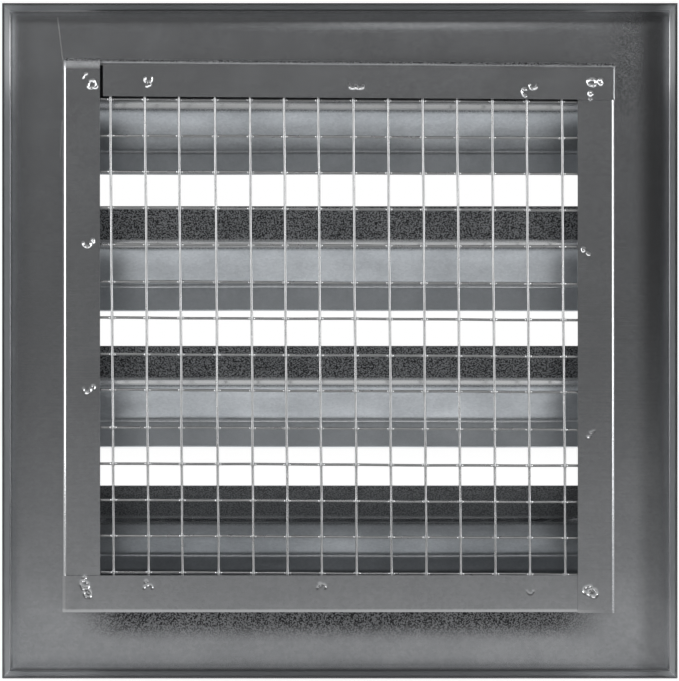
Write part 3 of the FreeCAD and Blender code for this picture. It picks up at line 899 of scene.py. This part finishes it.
sleeve_masks = {"fold": sleeve_fold_shade, "mark_and_highlight": sleeve_shine, "dull": dull_top}
for side, out in zip(("top", "right", "bottom", "left"), QUARTERS):
    add_piece("folded_sleeve_" + side, "sleeve_" + side, sleeve_side(out), sleeve_zinc,
              sleeve_masks, pressed)

# %% [markdown]
# ## The blades
#
# A blade is one strip with four legs: a steep band at the top, a small step, the long slope,
# and a drip edge that comes back from the nose. A tab at each end of the slope is turned up
# and welded to the sleeve. All four blades share the profile, carried from side to side, and
# each bows by its own tenth of a millimetre between its welded ends.

# %% Make the four blades
BLADE_PITCH = 50.5
BLADE_TOP = (-40.8, 98.843)
BLADE_LEGS = np.array([(0, 0), (9.4, -12.4), (10.3, -14.4), (28.6, -27.95), (17.4, -36.9)])
BLADE_TAB_HALF = 7.0
BLADE_TAB_HEIGHT = 9.0
BLADE_REACH = SLEEVE_HALF - GAUGE - LAP_GAP
BLADE_STATIONS = 81
BOW_DEPTH, BOW_HEIGHT = 0.5, 0.7


def offset_line(corners, distance):
    """The same legs moved sideways to the left, with their corners mitred."""
    ways = np.diff(corners, axis=0)
    ways = ways / np.linalg.norm(ways, axis=1)[:, None]
    normals = np.stack([-ways[:, 1], ways[:, 0]], axis=1)
    before, after = np.vstack([normals[:1], normals]), np.vstack([normals, normals[-1:]])
    mitre = (before + after) / (1 + (before * after).sum(axis=1))[:, None]
    return corners + distance * mitre


middle_legs = offset_line(BLADE_LEGS, GAUGE / 2)
slope = middle_legs[3] - middle_legs[2]
slope_way = slope / np.linalg.norm(slope)
slope_middle = (middle_legs[2] + middle_legs[3]) / 2
blade_corners = np.array([*middle_legs[:3], slope_middle - BLADE_TAB_HALF * slope_way,
                          slope_middle + BLADE_TAB_HALF * slope_way, *middle_legs[3:]])
blade_line, blade_normals, blade_rows = folded_line(blade_corners, 1.6)
slope_up = np.array([0, -slope_way[1], slope_way[0]])
strip_end = BLADE_REACH - GAUGE - BEND_INSIDE


def blade_wave(x, number):
    """Slight bow and twist of a blade along its length: two sines, in millimetres."""
    return 0.10 * np.sin(x / 33 + number) + 0.06 * np.sin(x / 13 + 2.1 * number)


def blade_sheets(number):
    """Strip and end tabs of one blade. The strip is split in the middle, one half per tab.

    The bow starts below the band's upper edge, which stays straight under the lip.
    """
    x = np.linspace(-strip_end, strip_end, BLADE_STATIONS)
    base = np.array([SLEEVE_CENTRE[0], BLADE_TOP[0], BLADE_TOP[1] - BLADE_PITCH * (number - 1)])
    free = 1 - smooth_step(np.abs(x), strip_end - 12, strip_end)
    wave = free * blade_wave(x, number)
    grids = []
    for face in (GAUGE / 2, -GAUGE / 2):
        depth, height = (blade_line + face * blade_normals).T
        bow = smooth_step(np.arange(len(depth)), 2, 8)[:, None] * wave
        y = depth[:, None] + BOW_DEPTH * bow
        z = height[:, None] + BOW_HEIGHT * bow
        grids.append(base + np.stack([np.broadcast_to(x, y.shape), y, z], axis=-1))
    first, last = blade_rows[3], blade_rows[4]
    sheets = []
    for column, way in ((-1, 1), (0, -1)):
        middle = (grids[0] + grids[1])[first:last + 1, column] / 2
        tab = turned_tab(middle, (way, 0, 0), slope_up, BEND_MIDDLE,
                         BLADE_TAB_HEIGHT - GAUGE / 2 - BEND_MIDDLE)
        tab = faced_alike(tab, grids[0][first, column])
        sheets.append(closed_sheet(*tab, rims="abd"))
    centre = len(x) // 2
    for part in (slice(centre, None), slice(centre, None, -1)):
        front, back = grids[0][:, part], grids[1][:, part]
        sheets.append(closed_sheet(front, back, rims="abd", skip_last=(first, last)))
    return sheets


def drop_below_top(points):
    """How far a point lies below the upper edge of its own blade."""
    return (BLADE_TOP[1] - points[:, 2]) % BLADE_PITCH


def blade_band_shade(points):
    """Painted shade on the steep bands, a little less on the lowest one, and in the grooves under them,
    with gritty specks.
    """
    drop = drop_below_top(points)
    band = (1 - smooth_step(drop, 11.6, 12.6)) * (0.7 + 0.3 * smooth_step(points[:, 2], -56, -50))
    return band + 0.6 * window(drop, (13.9, 14.3), (14.5, 15.3))


def blade_painted_shadow(points):
    """Painted shadow under the top lip and painted shade on the lowest drip edge."""
    z = points[:, 2]
    drip = 0.25 * (1 - smooth_step(z, -81.2, -80.8)) + 0.45 * (1 - smooth_step(z, -85.4, -85.0))
    return drip + 0.95 * smooth_step(z, 87.3, 87.7)


def step_and_drip_highlight(points):
    """Painted highlight on the small step and on the upper drip edges, which are also shinier."""
    drop = drop_below_top(points)
    step = window(drop, (12.1, 12.5), (13.7, 14.1))
    return step + 0.4 * smooth_step(drop, 28.1, 28.6) * smooth_step(points[:, 2], -75, -70)


blade_masks = {"fold": blade_band_shade, "painted_shadow": blade_painted_shadow, "mark_and_highlight": step_and_drip_highlight}
for number in (1, 2, 3, 4):
    add_piece(f"louvre_blade_{number}", f"blade_{number}", blade_sheets(number),
              blade_zinc, blade_masks, skewed)

# %% [markdown]
# ## The welded mesh
#
# The mesh is half-inch hardware cloth: straight wires that cross and are welded, then dipped
# in zinc, which gathers in the corners of each crossing. A wire is a circle carried along its
# own slightly wavy line, and its radius swells where it meets another wire. The solid's mesh
# has an even pitch. Here each wire has its own place, read from the picture, where no two
# gaps are quite alike.

# %% Wires as circles carried along wavy lines
WIRE_RADIUS = 0.46
MESH_CENTRE = (-0.75, 1.4)
UPRIGHT_DEPTH, CROSS_DEPTH = -48.97, -48.23
UPRIGHT_LEAN, CROSS_FALL = math.tan(math.radians(-0.45)), math.tan(math.radians(-0.3))
WIRE_REACH = 93.0
WIRE_SIDES = 12
WIRE_SWELL, SWELL_LENGTH = 0.14, 0.8
upright_pixels = np.array([111.66, 146.33, 180.32, 216.31, 251.29, 285.38, 319.57, 354.59, 389.42, 424.04,
                           458.42, 493.41, 527.89, 563.07])
cross_pixels = np.array([572.8, 536.3, 500.5, 464.2, 428.0, 390.5, 354.9, 318.4, 282.2, 245.1, 208.7,
                         172.3, 136.4, 100.0])
upright_x = seen_at(upright_pixels, 0, UPRIGHT_DEPTH)[0]
cross_z = seen_at(0, cross_pixels, CROSS_DEPTH)[1]
chance = np.random.default_rng(19)


def wire_stations(crossings):
    """Places along a wire: a few between crossings and more round each crossing."""
    near = np.array([-1.6, -1.1, -0.75, -0.45, -0.15, 0.15, 0.45, 0.75, 1.1, 1.6])
    even = np.linspace(-WIRE_REACH, WIRE_REACH, 45)
    clear = np.abs(even[:, None] - crossings).min(axis=1) > 2.2
    return np.sort(np.concatenate([even[clear], (crossings[:, None] + near).ravel()]))


def ring_faces(rings, sides):
    """Quads between neighbouring rings of points, and the two caps that close the ends."""
    index = np.arange(rings * sides).reshape(rings, sides)
    following = np.roll(index, -1, axis=1)
    quads = np.stack([index[:-1], following[:-1], following[1:], index[1:]], axis=-1)
    return quads.reshape(-1, 4), [index[0][::-1], index[-1]]


def wire_tube(along, crossings, phase, place):
    """Closed tube of one wire. place(along, sideways, depthwise) gives its points.

    Each ring is a circle of the wire's radius, times 1 + swell * exp(-(distance / length)^2)
    from the nearest crossing, and the line itself wanders by two slow sines.
    """
    gap = np.abs(along[:, None] - crossings).min(axis=1)
    radius = WIRE_RADIUS * (1 + WIRE_SWELL * np.exp(-(gap / SWELL_LENGTH) ** 2))
    wander = 0.06 * np.sin(along / 17 + phase) + 0.035 * np.sin(along / 6.1 + 2.3 * phase)
    angle = np.linspace(0, math.tau, WIRE_SIDES, endpoint=False)
    side = wander[:, None] + radius[:, None] * np.cos(angle)
    deep = radius[:, None] * np.sin(angle)
    rings = place(np.broadcast_to(along[:, None], side.shape), side, deep)
    return rings.reshape(-1, 3), *ring_faces(len(along), WIRE_SIDES)


def upright_wire(x0):
    """Upright wire that passes x0 at the mesh's middle height and leans a little."""
    def place(along, side, deep):
        return np.stack([x0 + along * UPRIGHT_LEAN + side, UPRIGHT_DEPTH + deep,
                         MESH_CENTRE[1] + along], -1)
    crossings = cross_z - MESH_CENTRE[1] + CROSS_FALL * (x0 - MESH_CENTRE[0])
    return wire_tube(wire_stations(crossings), crossings, chance.uniform(0, math.tau), place)


def cross_wire(z0):
    """Crossing wire that passes z0 at the mesh's middle and falls a little to the right."""
    def place(along, side, deep):
        return np.stack([MESH_CENTRE[0] + along, CROSS_DEPTH + deep,
                         z0 + along * CROSS_FALL + side], -1)
    crossings = upright_x - MESH_CENTRE[0] + UPRIGHT_LEAN * (z0 - MESH_CENTRE[1])
    return wire_tube(wire_stations(crossings), crossings, chance.uniform(0, math.tau), place)


wires = [upright_wire(x0) for x0 in upright_x] + [cross_wire(z0) for z0 in cross_z]
print("wires:", len(wires), "mean gaps in mm:", round(np.diff(upright_x).mean(), 2),
      round(np.diff(cross_z).mean(), 2))

# %% Beads of zinc at the crossings
# A bead is a unit ball stretched to its own half sizes, one on each side of every crossing.
BEAD_SIZE = np.array([0.62, 0.50, 0.50])
BEAD_OFFSET = 0.78
BEAD_STANDS_OUT = 0.08
bead_turn, bead_rise = np.meshgrid(np.linspace(0, math.tau, 10, endpoint=False),
                                   np.linspace(-math.pi / 2, math.pi / 2, 7)[1:-1])
ball = np.stack([np.cos(bead_turn) * np.cos(bead_rise), np.sin(bead_rise),
                 np.sin(bead_turn) * np.cos(bead_rise)], axis=-1)
ball_quads, ball_caps = ring_faces(*ball.shape[:2])
across, up = np.meshgrid(upright_x, cross_z)
bead_x = across + (up - MESH_CENTRE[1]) * UPRIGHT_LEAN
bead_z = up + (across - MESH_CENTRE[0]) * CROSS_FALL
bead_x = np.stack([bead_x - BEAD_OFFSET, bead_x + BEAD_OFFSET])
bead_y = np.full(bead_x.shape, CROSS_DEPTH - BEAD_STANDS_OUT)
beads = np.stack([bead_x, bead_y, np.stack([bead_z, bead_z])], -1).reshape(-1, 3)
bead_scale = BEAD_SIZE * chance.uniform(0.85, 1.15, (len(beads), 3))
print("beads:", len(beads))

# %% Make the mesh
mesh_points, mesh_faces = [], []
start = 0
for points, quads, caps in wires:
    mesh_points.append(points)
    mesh_faces += (quads + start).tolist() + [(cap + start).tolist() for cap in caps]
    start += len(points)
wire_count = start
for centre, scale in zip(beads, bead_scale):
    points = centre + ball.reshape(-1, 3) * scale
    mesh_points.append(points)
    mesh_faces += (ball_quads + start).tolist() + [(cap + start).tolist() for cap in ball_caps]
    start += len(points)
welded = bpy.data.meshes.new("welded_mesh")
welded.from_pydata(np.concatenate(mesh_points) * MM, [], mesh_faces)
# The beads are painted pale and shiny: a painted highlight on the zinc fillets.
is_bead = (np.arange(start) >= wire_count).astype(np.float32)
welded.attributes.new("mark_and_highlight", "FLOAT", "POINT").data.foreach_set("value", is_bead)
shell = bmesh.new()
shell.from_mesh(welded)
bmesh.ops.recalc_face_normals(shell, faces=shell.faces)
shell.to_mesh(welded)
shell.free()
welded.shade_smooth()
welded.set_sharp_from_angle(angle=math.radians(60))
welded.materials.append(wire_zinc)
screen = bpy.data.objects.new("welded_mesh", welded)
bpy.context.collection.objects.link(screen)
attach(screen, "root")
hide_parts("screen")
welded.calc_loop_triangles()
print("the mesh has", len(welded.loop_triangles), "triangles")

# %% [markdown]
# ## Finish
#
# The picture is shown with plain colours.

# %% Colours as they are
bpy.context.scene.view_settings.view_transform = "Standard"
